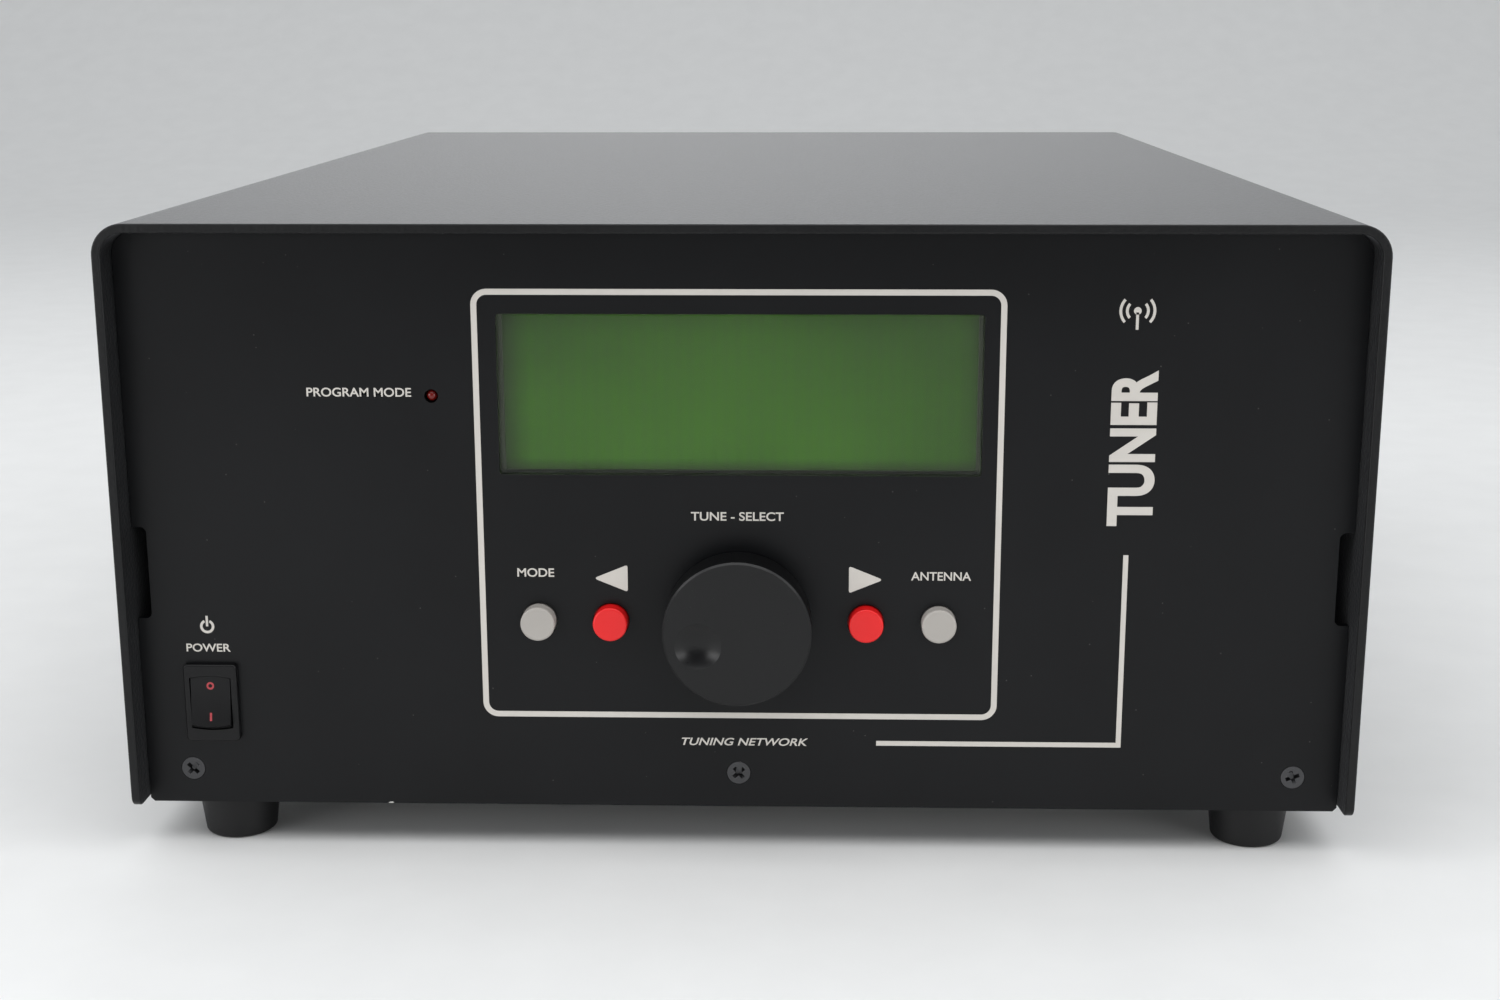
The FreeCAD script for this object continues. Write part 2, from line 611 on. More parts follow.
def board_standoffs():
    """Studs on the front panel's back face, and pillars under the main board."""
    made = []
    for x, z in panel_board_studs():
        thick = rod_y(x, z, STANDOFF_RADIUS, PANEL_BACK_Y, BOARD_Y)
        thin = rod_y(x, z, BOARD_STUD_RADIUS, BOARD_Y, BOARD_Y + BOARD_THICKNESS + 3.4)
        made.append(fuse([thick, thin]))
    for x, y in main_board_corners():
        made.append(rod_z(x, y, STANDOFF_RADIUS, FLOOR_Z, FLOOR_Z + MAIN_BOARD_PILLAR))
    return made


def display_lens():
    """The clear window: a boss that fills the panel's opening and a flange behind it."""
    w, h = WINDOW_WIDTH / 2 - LENS_GAP, WINDOW_HEIGHT / 2 - LENS_GAP
    front_y = PANEL_Y + 0.25
    boss = display_block((w, h), front_y, PANEL_BACK_Y)
    boss = boss.makeFillet(0.7, [e for e in boss.Edges if e.BoundBox.YLength > 1])
    boss = boss.makeChamfer(0.3, [e for e in boss.Edges if e.BoundBox.YMax < front_y + 0.05])
    flange = display_block((w + LENS_FLANGE, h + LENS_FLANGE - 0.5), PANEL_BACK_Y, PANEL_BACK_Y + 1.0)
    return fuse([boss, flange])


def display_bezel():
    """The display module's black steel frame."""
    y0 = PANEL_BACK_Y + 1.1
    inside = [half - FRAME_SHEET for half in FRAME_HALF]
    shell = display_block(FRAME_HALF, y0, BOARD_Y)
    hollow = display_block(inside, y0 + FRAME_SHEET, BOARD_Y + 1)
    opening = display_block(FRAME_OPENING_HALF, y0 - 1, y0 + 1)
    return shell.cut([hollow, opening])


def display_glass():
    """The liquid-crystal cell."""
    y0 = PANEL_BACK_Y + 1.8
    return display_block(CELL_HALF, y0, y0 + CELL_THICKNESS)


def display_backlight():
    """The light box behind the cell."""
    return display_block(CELL_HALF, PANEL_BACK_Y + 1.9 + CELL_THICKNESS, BOARD_Y)


def drilled_board(centre, half, studs):
    """An upright circuit board behind the front panel, drilled for its studs."""
    x, z = centre
    board = box(x - half[0], x + half[0], BOARD_Y, BOARD_Y + BOARD_THICKNESS, z - half[1], z + half[1])
    return board.cut([rod_y(sx, sz, BOARD_STUD_RADIUS + 0.1, BOARD_Y - 1, BOARD_Y + 3) for sx, sz in studs])


def display_board():
    """The display module's circuit board."""
    return drilled_board(display_centre(), DISPLAY_BOARD_HALF, display_studs())


def control_board():
    """The circuit board behind the buttons and the encoder."""
    return drilled_board((0.0, BASE_Z + CONTROL_UP), CONTROL_BOARD_HALF, control_studs())


def button_switches():
    """The four switch housings on the control board, each with a well for its button's stem."""
    z, half = BASE_Z + CONTROL_UP, 6.0
    made = []
    for x in BUTTON_X.values():
        housing = box(x - half, x + half, BOARD_Y - 5.0, BOARD_Y, z - half, z + half)
        made.append(housing.cut(rod_y(x, z, STEM_RADIUS + 0.25, BOARD_Y - 6, BOARD_Y - 1.0)))
    return made


def program_led():
    """A 3 mm indicator lamp just inside its hole, with two leads."""
    x, z, lead = LED_X, BASE_Z + LED_UP, 0.25
    dome_y, end_y = PANEL_Y + 1.75, PANEL_BACK_Y + 2.4
    dome = Part.makeSphere(LED_RADIUS, V(x, dome_y, z))
    body = rod_y(x, z, LED_RADIUS, dome_y, end_y)
    flange = rod_y(x, z, LED_RADIUS + 0.45, end_y - 1.0, end_y)
    solids = [dome, body, flange]
    for lead_x in (x - 1.27, x + 1.27):
        solids.append(box(lead_x - lead, lead_x + lead, end_y, end_y + 9.6, z - lead, z + lead))
    return fuse(solids)


# ---------------------------------------------------------------- controls
def button(x):
    """A round cap with a retaining collar behind the panel and a stem into its switch."""
    z = BASE_Z + CONTROL_UP
    face = PANEL_Y - BUTTON_PROUD
    cap = rod_y(x, z, BUTTON_RADIUS, face, PANEL_BACK_Y + 0.3)
    rim = [e for e in cap.Edges if e.BoundBox.YMax < face + 0.01]
    cap = cap.makeFillet(BUTTON_EDGE_RADIUS, rim)
    collar = rod_y(x, z, BUTTON_RADIUS + 1.0, PANEL_BACK_Y + 0.3, PANEL_BACK_Y + 1.5)
    stem = rod_y(x, z, STEM_RADIUS, PANEL_BACK_Y + 1.5, BOARD_Y - 2.4)
    return fuse([cap, collar, stem])


def encoder_body():
    """The rotary encoder: a square can behind the panel and a bushing through it."""
    z = BASE_Z + CONTROL_UP
    can = box(-7, 7, PANEL_BACK_Y, BOARD_Y, z - 7, z + 7)
    bushing = rod_y(0, z, BUSHING_RADIUS, PANEL_Y - 3.6, PANEL_BACK_Y)
    return fuse([can, bushing]).cut(rod_y(0, z, SHAFT_RADIUS + RUNNING, PANEL_Y - 5, BOARD_Y - 1.0))


def encoder_nut():
    """The nut that clamps the encoder to the panel, hidden in the knob's skirt."""
    nut = hex_nut(10.0, 2.2, BUSHING_RADIUS)
    return place(nut, V(0, PANEL_Y, BASE_Z + CONTROL_UP), V(0, -1, 0), 15.0)


def encoder_shaft():
    """The shaft that the knob turns."""
    y0 = FRONT_LIP_Y - KNOB_PROUD_OF_LIP + 2.5
    return rod_y(0, BASE_Z + CONTROL_UP, SHAFT_RADIUS, y0, BOARD_Y - 1.6)


def tuning_knob():
    """A large plain knob with a bevelled rim, a finger dimple, and a skirt over the encoder's nut."""
    z = BASE_Z + CONTROL_UP
    face = FRONT_LIP_Y - KNOB_PROUD_OF_LIP
    back = face + KNOB_LENGTH
    body = rod_y(0, z, KNOB_RADIUS, face, back)
    front_edge = [e for e in body.Edges if e.BoundBox.YMax < face + 0.01]
    body = body.makeChamfer(KNOB_BEVEL, front_edge)
    rear_edge = [e for e in body.Edges if e.BoundBox.YMin > back - 0.01 and e.Length > KNOB_RADIUS]
    body = body.makeFillet(0.4, rear_edge)
    skirt = rod_y(0, z, KNOB_RADIUS - 2.2, back - 5.5, back + 1)
    skirt = skirt.cut(rod_y(0, z, 5.6, back - 6, back - 3.2))
    bore = rod_y(0, z, SHAFT_RADIUS + 0.02, face + 2.4, back + 1)
    angle = math.radians(DIMPLE_ANGLE_DEG)
    ball = (DIMPLE_RADIUS ** 2 + DIMPLE_DEPTH ** 2) / (2 * DIMPLE_DEPTH)
    dimple_x, dimple_z = DIMPLE_OUT * math.cos(angle), z + DIMPLE_OUT * math.sin(angle)
    dimple = Part.makeSphere(ball, V(dimple_x, face - ball + DIMPLE_DEPTH, dimple_z))
    screw_hole = Part.makeCylinder(SET_SCREW_RADIUS, KNOB_RADIUS, V(0, face + SET_SCREW_INSET, z), V(0, 0, -1))
    return body.cut([skirt, bore, dimple, screw_hole])


def knob_set_screw():
    """The socket screw that grips the shaft."""
    z = BASE_Z + CONTROL_UP
    face = FRONT_LIP_Y - KNOB_PROUD_OF_LIP
    length, socket_width, socket_depth = 6.0, 1.5, 1.6
    body = Part.makeCylinder(SET_SCREW_RADIUS, length, V(0, 0, -length))
    screw = body.cut(hex_prism(socket_width, socket_depth).translated(V(0, 0, -socket_depth)))
    return place(screw, V(0, face + SET_SCREW_INSET, z - SHAFT_RADIUS - length), V(0, 0, -1))


def barrel_about_pivot(extra):
    """A round body about the rocker's pivot, fuller in the middle than at its sides.

    Tilting leaves its shape as it is. It gives the rocker its bowed ends, and gives the well that holds the
    rocker the same shape with a little to spare.
    """
    side = ROCKER_WIDTH / 2 + extra
    middle_radius, side_radius = ROCKER_MIDDLE_RADIUS + extra, ROCKER_SIDE_RADIUS + extra
    edges = [
        Part.Arc(V(-side, side_radius, 0), V(0, middle_radius, 0), V(side, side_radius, 0)),
        Part.LineSegment(V(side, side_radius, 0), V(side, 0, 0)),
        Part.LineSegment(V(side, 0, 0), V(-side, 0, 0)),
        Part.LineSegment(V(-side, 0, 0), V(-side, side_radius, 0)),
    ]
    face = Part.Face(Part.Wire([e.toShape() for e in edges]))
    barrel = face.revolve(V(0, 0, 0), V(1, 0, 0), 360)
    barrel.translate(V(SWITCH_X, PANEL_Y + PIVOT_DEPTH, BASE_Z + SWITCH_UP))
    return barrel


def rocker_pin(radius, length):
    """The rocker's pivot pin, or the hole for it."""
    at = V(SWITCH_X - length / 2, PANEL_Y + PIVOT_DEPTH, BASE_Z + SWITCH_UP)
    return Part.makeCylinder(radius, length, at, V(1, 0, 0))


def power_switch_housing():
    """The snap-in body of the rocker switch, with its raised bezel and the well that the rocker tilts in."""
    x, z = SWITCH_X, BASE_Z + SWITCH_UP
    y0 = PANEL_Y - BEZEL_PROUD
    w, h = BEZEL_WIDTH / 2, BEZEL_HEIGHT / 2
    bezel = box(x - w, x + w, y0, PANEL_Y, z - h, z + h)
    bezel = bezel.makeFillet(1.0, [e for e in bezel.Edges if e.BoundBox.YLength > 1])
    bezel = bezel.makeFillet(0.5, [e for e in bezel.Edges if e.BoundBox.YMax < y0 + 0.01])
    half_x, half_z = SWITCH_BODY_HALF
    body = box(x - half_x, x + half_x, PANEL_Y, PANEL_Y + SWITCH_BODY_LENGTH, z - half_z, z + half_z)
    pin = rocker_pin(PIN_RADIUS + RUNNING, 12.2)
    return fuse([bezel, body]).cut([barrel_about_pivot(ROCKER_CLEARANCE), pin])


def power_rocker():
    """The rocker at its off stop: the upper end in, the lower end out, and its face slightly hollow."""
    x, y, z = SWITCH_X, PANEL_Y + PIVOT_DEPTH, BASE_Z + SWITCH_UP
    end = PIVOT_DEPTH + BEZEL_PROUD + ROCKER_END_PROUD
    half, back = ROCKER_MIDDLE_RADIUS, 3.0
    outline = [
        Part.Arc(V(0, -end, -half), V(0, ROCKER_HOLLOW - end, 0), V(0, -end, half)),
        Part.LineSegment(V(0, -end, half), V(0, back, half)),
        Part.LineSegment(V(0, back, half), V(0, back, -half)),
        Part.LineSegment(V(0, back, -half), V(0, -end, -half)),
    ]
    block = Part.Face(Part.Wire([e.toShape() for e in outline])).extrude(V(ROCKER_WIDTH, 0, 0))
    block.translate(V(x - ROCKER_WIDTH / 2, y, z))
    rocker = fuse([block.common(barrel_about_pivot(0.0)), rocker_pin(PIN_RADIUS, 12.0)])
    rocker.rotate(V(x, y, z), V(1, 0, 0), -ROCKER_TILT_DEG)
    return rocker


def power_switch_terminals():
    """Two flat tabs behind the switch."""
    x, z = SWITCH_X, BASE_Z + SWITCH_UP
    y = PANEL_Y + SWITCH_BODY_LENGTH
    half_x, half_z, length = 2.4, 0.4, 8.0
    tab = box(x - half_x, x + half_x, y, y + length, z - half_z, z + half_z)
    return [tab.translated(V(0, 0, drop)) for drop in (-6.0, 0.0)]


# ---------------------------------------------------------------- rear connectors
def coax_sockets():
    """Three square-flanged coaxial sockets."""
    made = []
    y0, z, half = REAR_Y, BASE_Z + COAX_UP, COAX_FLANGE / 2
    y1 = y0 + COAX_FLANGE_THICKNESS
    holes = [rod_y(x, hole_z, COAX_SCREW_HOLE_RADIUS, y0 - 1, y1 + 1) for x, hole_z in coax_screw_places()]
    for x in COAX_X:
        flange = box(x - half, x + half, y0, y1, z - half, z + half)
        flange = flange.makeFillet(2.2, [e for e in flange.Edges if e.BoundBox.YLength > 1])
        barrel = rod_y(x, z, COAX_RADIUS, y1, y1 + COAX_BARREL)
        tail = rod_y(x, z, COAX_HOLE_RADIUS - 0.1, y0 - 4.0, y0)
        bore = rod_y(x, z, COAX_BORE_RADIUS, y0 - 5, y0 + 20)
        made.append(fuse([flange, barrel, tail]).cut(holes + [bore]))
    return made


def coax_insulators():
    """The white insulators inside the sockets."""
    z, contact = BASE_Z + COAX_UP, COAX_CONTACT_RADIUS
    made = []
    for x in COAX_X:
        plug = rod_y(x, z, COAX_BORE_RADIUS, REAR_Y - 8.0, REAR_Y + 8.0)
        made.append(plug.cut(rod_y(x, z, contact, REAR_Y - 9, REAR_Y + 9)))
    return made


def coax_contacts():
    """The centre contacts: a tube in front, a solder tail behind."""
    z = BASE_Z + COAX_UP
    made = []
    for x in COAX_X:
        tube = rod_y(x, z, COAX_CONTACT_RADIUS, REAR_Y - 8.0, REAR_Y + 14.5)
        tail = rod_y(x, z, 1.5, REAR_Y - 20.0, REAR_Y - 8.0)
        made.append(fuse([tube, tail]).cut(rod_y(x, z, 2.0, REAR_Y + 2.5, REAR_Y + 15)))
    return made


def ceramic_insulators():
    """The balanced line's cone insulators, the capacitor's pillars, and the bushings that carry its stators."""
    made = []
    z, foot_end = BASE_Z + POST_UP, REAR_Y + 3.0
    cone_end = REAR_Y + POST_CONE_END
    for x in POST_X:
        bore = rod_y(x, z, STUD_RADIUS, REAR_INNER_Y - 20.0, cone_end + 1)
        cone = Part.makeCone(12.0, 8.0, cone_end - foot_end, V(x, foot_end, z), V(0, 1, 0))
        foot = rod_y(x, z, 12.0, REAR_Y, foot_end)
        neck = rod_y(x, z, POST_HOLE_RADIUS - 0.2, REAR_INNER_Y, REAR_Y)
        made.append(fuse([cone, foot, neck]).cut(bore))
        inner = rod_y(x, z, 10.0, REAR_INNER_Y - POST_INNER_LENGTH, REAR_INNER_Y)
        made.append(inner.cut(bore))
    for x in (CAPACITOR_X - 34, CAPACITOR_X + 34):
        for y in (FRAME_FRONT_Y + 2.0, FRAME_FRONT_Y + 158.0):
            made.append(rod_z(x, y, 7.0, FLOOR_Z, AXIS_Z - CAPACITOR_FRAME_HALF[1]))
    for x, z in stator_rods():
        for y0 in capacitor_plate_ys():
            made.append(rod_y(x, z, STATOR_BUSHING_RADIUS, y0, y0 + CAPACITOR_FRAME_PLATE))
    return made


def terminal_studs():
    """Threaded studs of the balanced terminals and of the ground terminal."""
    z = BASE_Z + POST_UP
    made = [rod_y(x, z, STUD_RADIUS, REAR_INNER_Y - 16.0, REAR_Y + REAR_PROUD) for x in POST_X]
    made.append(rod_y(GROUND_X, BASE_Z + GROUND_UP, STUD_RADIUS, REAR_INNER_Y - 6.0, REAR_Y + 20.0))
    return made


def ground_washer():
    """The washer that the wing nut presses on."""
    z = BASE_Z + GROUND_UP
    y0 = REAR_Y + GROUND_NUT_LENGTH
    ring = rod_y(GROUND_X, z, 6.2, y0, y0 + WASHER_THICKNESS)
    return ring.cut(rod_y(GROUND_X, z, STUD_RADIUS + RUNNING, y0 - 1, y0 + 3))


def ground_wing_nut():
    """A wing nut: a round hub and two rounded wings."""
    hub = Part.makeCone(5.6, 4.6, 7.0)
    profile = [
        Part.LineSegment(V(3.6, 0, 0.6), V(8.6, 0, 3.2)),
        Part.Arc(V(8.6, 0, 3.2), V(12.4, 0, 9.2), V(9.4, 0, 12.6)),
        Part.Arc(V(9.4, 0, 12.6), V(6.2, 0, 10.4), V(3.6, 0, 6.6)),
        Part.LineSegment(V(3.6, 0, 6.6), V(3.6, 0, 0.6)),
    ]
    wing = Part.Face(Part.Wire([e.toShape() for e in profile])).extrude(V(0, 2.2, 0))
    wing.translate(V(0, -1.1, 0))
    other = wing.copy()
    other.rotate(V(0, 0, 0), V(0, 0, 1), 180)
    nut = fuse([hub, wing, other]).cut(Part.makeCylinder(STUD_RADIUS + RUNNING, 20, V(0, 0, -1)))
    y0 = REAR_Y + GROUND_NUT_LENGTH + WASHER_THICKNESS
    return place(nut, V(GROUND_X, y0, BASE_Z + GROUND_UP), V(0, 1, 0), 25.0)


def dc_power_jack():
    """The round power inlet with its centre pin."""
    x, z = DC_X, BASE_Z + DC_UP
    ring = rod_y(x, z, 7.0, REAR_Y, REAR_Y + 2.0)
    body = rod_y(x, z, DC_BODY_RADIUS, REAR_Y - 14.0, REAR_Y)
    well = rod_y(x, z, 3.1, REAR_Y - 10.0, REAR_Y + 3)
    pin = rod_y(x, z, 1.05, REAR_Y - 10.0, REAR_Y - 0.5)
    nut = rod_y(x, z, 7.5, REAR_INNER_Y - 2.5, REAR_INNER_Y)
    return fuse([fuse([ring, body, nut]).cut(well), pin])


def serial_port():
    """A nine-way D-shaped socket with its two jack posts."""
    x, z, y = SERIAL_X, BASE_Z + SERIAL_UP, REAR_Y
    plate = box(x - 15.4, x + 15.4, y, y + 0.8, z - 6.25, z + 6.25)
    plate = plate.makeFillet(1.5, [e for e in plate.Edges if e.BoundBox.YLength > 0.5])
    top, bottom, height, length = 8.4, 7.0, 4.0, 6.0
    corners = [V(x - top, y, z + height), V(x + top, y, z + height),
               V(x + bottom, y, z - height), V(x - bottom, y, z - height)]
    shell = Part.Face(Part.makePolygon(corners + corners[:1])).extrude(V(0, length, 0))
    shell = shell.makeFillet(1.4, [e for e in shell.Edges if e.BoundBox.YLength > 5])
    pitch, row = 2.75, 1.4
    pin_places = [(x + pitch * (n - 2), z + row) for n in range(5)]
    pin_places += [(x + pitch * (n - 1.5), z - row) for n in range(4)]
    pins = [rod_y(pin_x, pin_z, 0.55, y + 2, y + length + 1) for pin_x, pin_z in pin_places]
    half_x, half_z = SERIAL_BACK_HALF
    back = box(x - half_x, x + half_x, y - 9.0, y, z - half_z, z + half_z)
    posts = []
    for post_x in (x - 12.5, x + 12.5):
        post = place(hex_prism(5.0, 4.6), V(post_x, y + 0.8, z), V(0, 1, 0), 11.0)
        posts.append(post.cut(rod_y(post_x, z, 1.4, y + 1, y + 8)))
    return fuse([plate, shell, back] + posts).cut(pins)


# ---------------------------------------------------------------- variable capacitor
def capacitor_plate_ys():
    """Front faces of the frame's three plates."""
    return [FRAME_FRONT_Y + CAPACITOR_SECTION * n for n in range(3)]


def section_starts():
    """y of the first stator plate of each of the two sections."""
    return [y + CAPACITOR_FRAME_PLATE + 7.0 for y in capacitor_plate_ys()[:2]]


def stator_rods():
    """x and z of the two rods that carry each stator."""
    return [(CAPACITOR_X + sx * 26.0, AXIS_Z - 33.0) for sx in (-1, 1)]


def capacitor_frame():
    """Three plates held apart by four tie rods."""
    w, h = CAPACITOR_FRAME_HALF
    x0, x1, z0, z1 = CAPACITOR_X - w, CAPACITOR_X + w, AXIS_Z - h, AXIS_Z + h
    y0, y1 = FRAME_FRONT_Y, FRAME_FRONT_Y + 2 * CAPACITOR_SECTION + CAPACITOR_FRAME_PLATE
    solids = [box(x0, x1, y, y + CAPACITOR_FRAME_PLATE, z0, z1) for y in capacitor_plate_ys()]
    for x, z in around((CAPACITOR_X, AXIS_Z), (39.0, 39.0)):
        solids.append(rod_y(x, z, 4.0, y0, y1))
    tools = [rod_y(CAPACITOR_X, AXIS_Z, NETWORK_SHAFT_RADIUS + RUNNING, y0 - 1, y1 + 1)]
    tools += [rod_y(x, z, STATOR_BUSHING_RADIUS, y0 - 1, y1 + 1) for x, z in stator_rods()]
    return fuse(solids).cut(tools)


def capacitor_stator():
    """Two stacks of fixed plates in the lower half, each on its own pair of rods."""
    made = []
    half, bottom, top = 31.0, AXIS_Z - 37.0, AXIS_Z - 2.0
    for start in section_starts():
        solids = []
        for n in range(PLATES_PER_SECTION):
            y = start + n * PLATE_PITCH
            plate = box(CAPACITOR_X - half, CAPACITOR_X + half, y, y + PLATE_THICKNESS, bottom, top)
            solids.append(plate.cut(rod_y(CAPACITOR_X, AXIS_Z, 9.0, y - 1, y + 2)))
        for x, z in stator_rods():
            solids.append(rod_y(x, z, 2.5, start - 7.0, start + 67.0))
        made.append(fuse(solids))
    return made


def capacitor_rotor():
    """The shaft and the half-round plates that turn between the fixed ones, drawn at full mesh."""
    x, z = CAPACITOR_X, AXIS_Z
    half_gap = (PLATE_PITCH - PLATE_THICKNESS) / 2
    offset = PLATE_THICKNESS + half_gap - PLATE_THICKNESS / 2
    hub_length = (PLATES_PER_SECTION - 2) * PLATE_PITCH + PLATE_THICKNESS
    solids = [rod_y(x, z, NETWORK_SHAFT_RADIUS, FRAME_FRONT_Y - 8.0, FRAME_FRONT_Y + 164.0)]
    for start in section_starts():
        first = start + offset
        for n in range(PLATES_PER_SECTION - 1):
            y = first + n * PLATE_PITCH
            disc = rod_y(x, z, ROTOR_RADIUS, y, y + PLATE_THICKNESS)
            solids.append(disc.cut(box(x - 40, x + 40, y - 1, y + 2, z + 2, z + 40)))
        solids.append(rod_y(x, z, 7.0, first, first + hub_length))
    return fuse(solids)


# ---------------------------------------------------------------- roller inductor
def roller_axis_z():
    """Height of the roller's rod above the coil."""
    return AXIS_Z + COIL_RADIUS + WIRE_RADIUS + ROLLER_GAP + ROLLER_ROOT


def roller_centre_y():
    """The roller's place at rest: halfway along, over the crown of a turn."""
    return COIL_START_Y + COIL_PITCH * (COIL_TURNS / 2)


def inductor_frame():
    """Two insulating end plates and two tie bars."""
    x, z = INDUCTOR_X, AXIS_Z
    y0, y1 = FRAME_FRONT_Y, FRAME_FRONT_Y + 156.0
    solids = [box(x - 38, x + 38, y, y + 6.0, FLOOR_Z, z + 44) for y in (y0, y1)]
    solids += [rod_y(x + sx * 32, FLOOR_Z + 14.0, 4.0, y0 + 6.0, y1) for sx in (-1, 1)]
    shaft_hole = rod_y(x, z, NETWORK_SHAFT_RADIUS + RUNNING, y0 - 1, y1 + 7)
    rod_hole = rod_y(x, roller_axis_z(), SHAFT_RADIUS, y0 - 1, y1 + 7)
    return fuse(solids).cut([shaft_hole, rod_hole])


def inductor_former():
    """The insulating tube that carries the winding, closed at both ends, with its shaft."""
    x, z = INDUCTOR_X, AXIS_Z
    y0, y1 = COIL_START_Y - 6.0, COIL_START_Y + COIL_PITCH * COIL_TURNS + 6.0
    outer = COIL_RADIUS - WIRE_RADIUS - 0.1
    tube = rod_y(x, z, outer, y0, y1).cut(rod_y(x, z, outer - 3.0, y0 + 4, y1 - 4))
    shaft = rod_y(x, z, NETWORK_SHAFT_RADIUS, FRAME_FRONT_Y - 8.0, FRAME_FRONT_Y + 166.0)
    return fuse([tube, shaft])


def inductor_winding():
    """The round-wire helix. At rest one turn's crown lies under the roller."""
    helix = Part.makeHelix(COIL_PITCH, COIL_PITCH * COIL_TURNS, COIL_RADIUS)
    circle = Part.Wire([Part.makeCircle(WIRE_RADIUS, V(COIL_RADIUS, 0, 0), V(0, 1, 0))])
    winding = Part.Wire(helix.Edges).makePipeShell([circle], True, True)
    winding.rotate(V(0, 0, 0), V(1, 0, 0), -90)
    winding.rotate(V(0, 0, 0), V(0, 1, 0), -90)
    winding.translate(V(INDUCTOR_X, COIL_START_Y, AXIS_Z))
    return winding


def roller_rod():
    """The contact rod that the roller slides on."""
    return rod_y(INDUCTOR_X, roller_axis_z(), SHAFT_RADIUS, FRAME_FRONT_Y, FRAME_FRONT_Y + 162.0)


def roller_bush():
    """The sleeve that slides along the rod inside the roller."""
    y, z = roller_centre_y(), roller_axis_z()
    sleeve = rod_y(INDUCTOR_X, z, SLEEVE_RADIUS, y - 4.5, y + 4.5)
    return sleeve.cut(rod_y(INDUCTOR_X, z, SHAFT_RADIUS + RUNNING, y - 6, y + 6))


def roller_wheel():
    """The grooved wheel that rides on the wire."""
    y, z = roller_centre_y(), roller_axis_z()
    wheel = rod_y(INDUCTOR_X, z, ROLLER_RADIUS, y - 2.6, y + 2.6)
    groove_radius = WIRE_RADIUS + ROLLER_GAP
    groove = Part.makeTorus(ROLLER_ROOT + groove_radius, groove_radius, V(INDUCTOR_X, y, z), V(0, 1, 0))
    return wheel.cut([groove, rod_y(INDUCTOR_X, z, SLEEVE_RADIUS + RUNNING, y - 6, y + 6)])


# ---------------------------------------------------------------- drives
def stepper_motors():
    """Two square stepper motors."""
    made = []
    half, y1 = MOTOR_SIDE / 2, MOTOR_FACE_Y
    for x in (CAPACITOR_X, INDUCTOR_X):
        body = box(x - half, x + half, y1 - MOTOR_LENGTH, y1, AXIS_Z - half, AXIS_Z + half)
        body = body.makeChamfer(4.0, [e for e in body.Edges if e.BoundBox.YLength > 30])
        boss = rod_y(x, AXIS_Z, MOTOR_BOSS_RADIUS, y1, y1 + 2.0)
        bore = rod_y(x, AXIS_Z, MOTOR_SHAFT_RADIUS + RUNNING, y1 - 20, y1 + 3)
        made.append(fuse([body, boss]).cut(bore))
    return made


def motor_brackets():
    """The angle brackets that hold the motors on the floor."""
    made = []
    half, thick, y0 = 26.0, 3.0, MOTOR_FACE_Y
    for x in (CAPACITOR_X, INDUCTOR_X):
        wall = box(x - half, x + half, y0, y0 + thick, FLOOR_Z, AXIS_Z + 25)
        foot = box(x - half, x + half, y0 - 28, y0 + thick, FLOOR_Z, FLOOR_Z + thick)
        hole = rod_y(x, AXIS_Z, MOTOR_BOSS_RADIUS + 0.2, y0 - 1, y0 + 4)
        made.append(fuse([wall, foot]).cut(hole))
    return made


def coupler(x):
    """An insulated coupler with the motor's shaft in its front half."""
    front, shaft_end = MOTOR_FACE_Y + 8.0, MOTOR_FACE_Y + 18.0
    sleeve = rod_y(x, AXIS_Z, 9.0, front, FRAME_FRONT_Y - 1.0)
    front_bore = rod_y(x, AXIS_Z, MOTOR_SHAFT_RADIUS, MOTOR_FACE_Y, shaft_end)
    back_bore = rod_y(x, AXIS_Z, NETWORK_SHAFT_RADIUS, FRAME_FRONT_Y - 8.0, FRAME_FRONT_Y)
    shaft = rod_y(x, AXIS_Z, MOTOR_SHAFT_RADIUS, MOTOR_FACE_Y - 18.0, shaft_end)
    return [sleeve.cut([front_bore, back_bore]), shaft]


# ---------------------------------------------------------------- other electronics
def balun_core():
    """The ferrite ring of the balanced line's transformer."""
    x, y, z = BALUN_AT
    ring = rod_z(x, y, BALUN_OUTER, z, z + BALUN_HEIGHT)
    ring = ring.cut(rod_z(x, y, BALUN_INNER, z - 1, z + BALUN_HEIGHT + 1))
    return ring.makeFillet(2.0, [e for e in ring.Edges if e.BoundBox.ZLength < 0.01])


def balun_winding():
    """Turns of covered wire round the ring."""
    wire, half_width, gap = BALUN_WIRE, 1.3, 0.1
    made = []
    for n in range(BALUN_TURNS):
        loop = box(BALUN_INNER - wire, BALUN_OUTER + wire, -half_width, half_width, -wire, BALUN_HEIGHT + wire)
        loop = loop.makeFillet(2.0, [e for e in loop.Edges if e.BoundBox.YLength > 2])
        loop = loop.cut(box(BALUN_INNER - gap, BALUN_OUTER + gap, -2, 2, -gap, BALUN_HEIGHT + gap))
        loop.rotate(V(0, 0, 0), V(0, 0, 1), 360.0 / BALUN_TURNS * n + 8.0)
        loop.translate(BALUN_AT)
        made.append(loop)
    return made


def main_board():
    """The controller board on its pillars."""
    z = FLOOR_Z + MAIN_BOARD_PILLAR
    return box(*MAIN_BOARD_X, *MAIN_BOARD_Y, z, z + BOARD_THICKNESS)


def relay_board():
    """The antenna changeover board behind the coaxial sockets."""
    return box(12.0, 138.0, RELAY_BOARD_Y - BOARD_THICKNESS, RELAY_BOARD_Y, BASE_Z + 20.0, BASE_Z + 68.0)


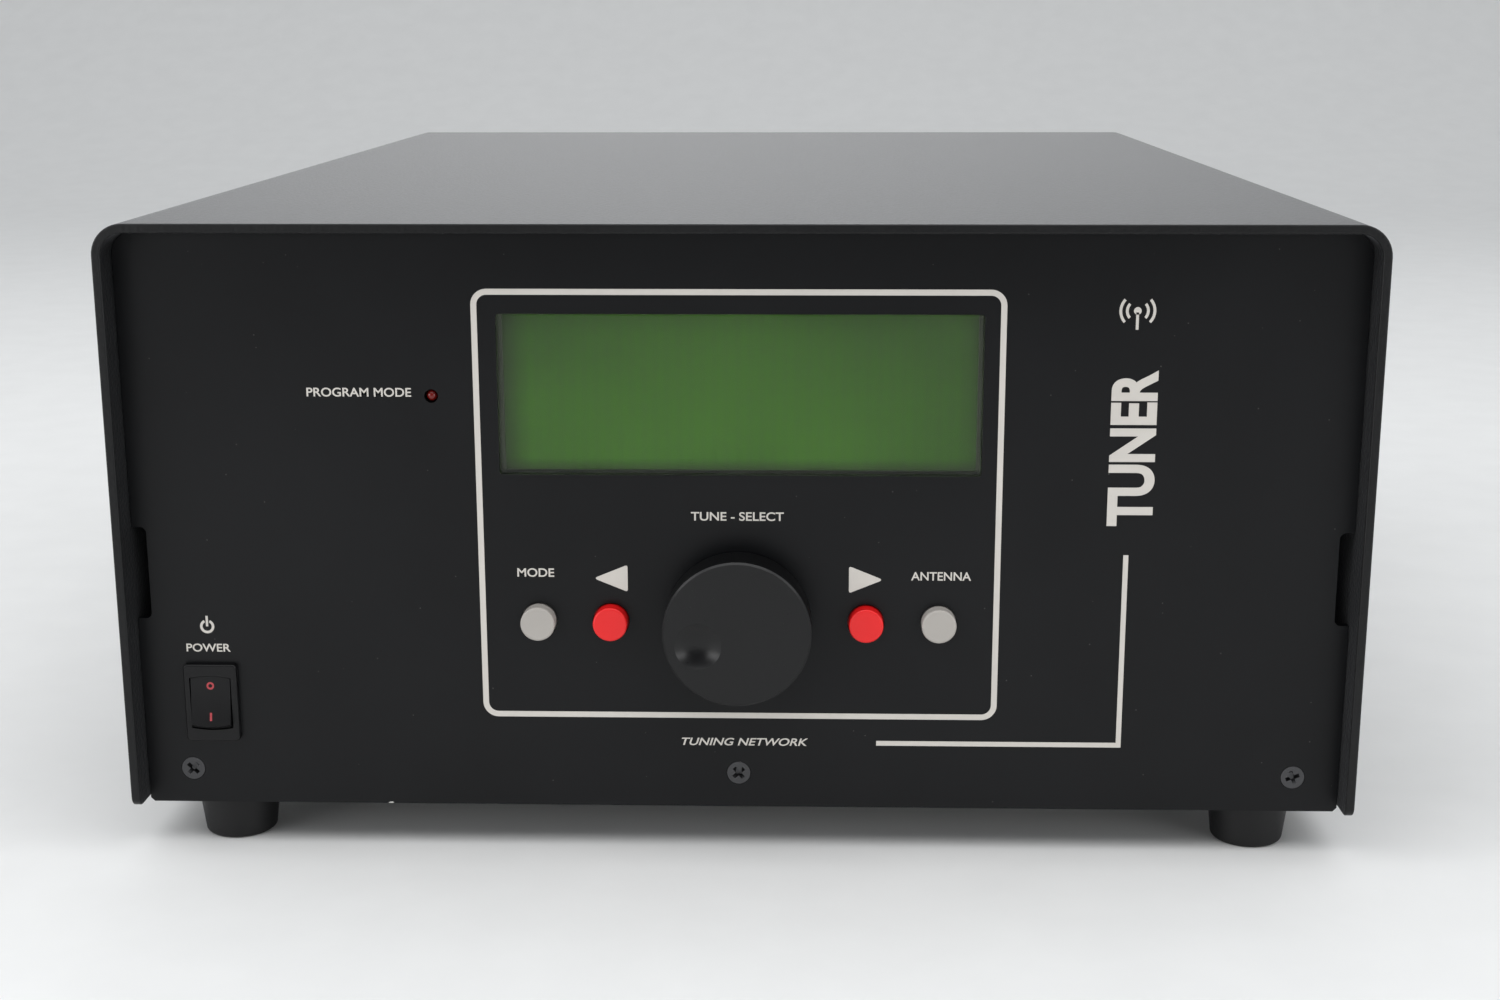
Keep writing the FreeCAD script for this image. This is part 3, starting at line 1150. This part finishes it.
def board_components():
    """Relays, and the main board's larger components."""
    y = RELAY_BOARD_Y - BOARD_THICKNESS
    made = [box(x - 12, x + 12, y - 16.0, y, BASE_Z + 26.0, BASE_Z + 56.0) for x in COAX_X]
    top = FLOOR_Z + MAIN_BOARD_PILLAR + BOARD_THICKNESS
    made.append(box(-110.0, -75.0, 110.0, 124.0, top, top + 4.0))
    made.append(box(-140.0, -120.0, 95.0, 115.0, top, top + 14.0))
    made.append(box(-66.0, -40.0, 88.0, 98.0, top, top + 9.0))
    made += [rod_z(-66.0 + 12.0 * n, 152.0, 4.0, top, top + 12.0) for n in range(3)]
    return made


def copper_straps():
    """A strap stepped across from the coil's end plate to the capacitor's, and one up the capacitor's side."""
    coil_end = FRAME_FRONT_Y + 162.0
    capacitor_end = FRAME_FRONT_Y + 160.0
    z0, z1 = AXIS_Z + 20.0, AXIS_Z + 32.0
    step, t = CAPACITOR_X - 50.0, 1.0
    along = box(INDUCTOR_X + 12.0, step, coil_end, coil_end + t, z0, z1)
    across = box(step - t, step, capacitor_end, coil_end + t, z0, z1)
    onto = box(step - t, CAPACITOR_X - 12.0, capacitor_end, capacitor_end + t, z0, z1)
    riser_x = CAPACITOR_X + 30.0
    riser = box(riser_x, riser_x + 12.0, capacitor_end, capacitor_end + t, AXIS_Z - 20.0, AXIS_Z + 30.0)
    return [fuse([along, across, onto]), riser]


def ribbon_cable():
    """The flat cable from the control board, down to the floor and back to the main board."""
    y0, t, stand_off, width = BOARD_Y + BOARD_THICKNESS, 1.0, 4.0, 24.0
    floor = FLOOR_Z + 0.4
    start_z = BASE_Z + CONTROL_UP - 8.0
    x0, x1 = -width / 2, width / 2
    drop_y, end_x, end_y = y0 + stand_off, -40.0, 120.0
    drop = box(x0, x1, drop_y, drop_y + t, floor, start_z)
    plug = box(x0, x1, y0, drop_y + t, start_z, start_z + 6.0)
    run = box(x0, x1, drop_y, end_y, floor, floor + t)
    turn = box(end_x, x1, end_y - width, end_y, floor, floor + t)
    rise = box(end_x, end_x + t, end_y - width, end_y, floor, FLOOR_Z + MAIN_BOARD_PILLAR)
    return fuse([drop, plug, run, turn, rise])


# ---------------------------------------------------------------- build
def main():
    os.makedirs("parts", exist_ok=True)
    makers = [
        cover, chassis_tray, front_panel, rear_panel, panel_screws, cover_screws, rear_screws, nuts,
        rubber_feet, foot_screws, board_standoffs, display_lens, display_bezel, display_glass,
        display_backlight, display_board, control_board, button_switches, program_led, encoder_body,
        encoder_nut, encoder_shaft, tuning_knob, knob_set_screw, power_switch_housing, power_rocker,
        power_switch_terminals, coax_sockets, coax_insulators, coax_contacts, ceramic_insulators,
        terminal_studs, ground_washer, ground_wing_nut, dc_power_jack, serial_port, capacitor_frame,
        capacitor_stator, capacitor_rotor, inductor_frame, inductor_former, inductor_winding, roller_rod,
        roller_bush, roller_wheel, stepper_motors, motor_brackets, balun_core, balun_winding, main_board,
        relay_board, board_components, copper_straps, ribbon_cable,
    ]
    for maker in makers:
        save(maker.__name__, maker())
    for node, x in BUTTON_X.items():
        save(node, button(x))
    save("capacitor_coupler", coupler(CAPACITOR_X))
    save("inductor_coupler", coupler(INDUCTOR_X))


main()
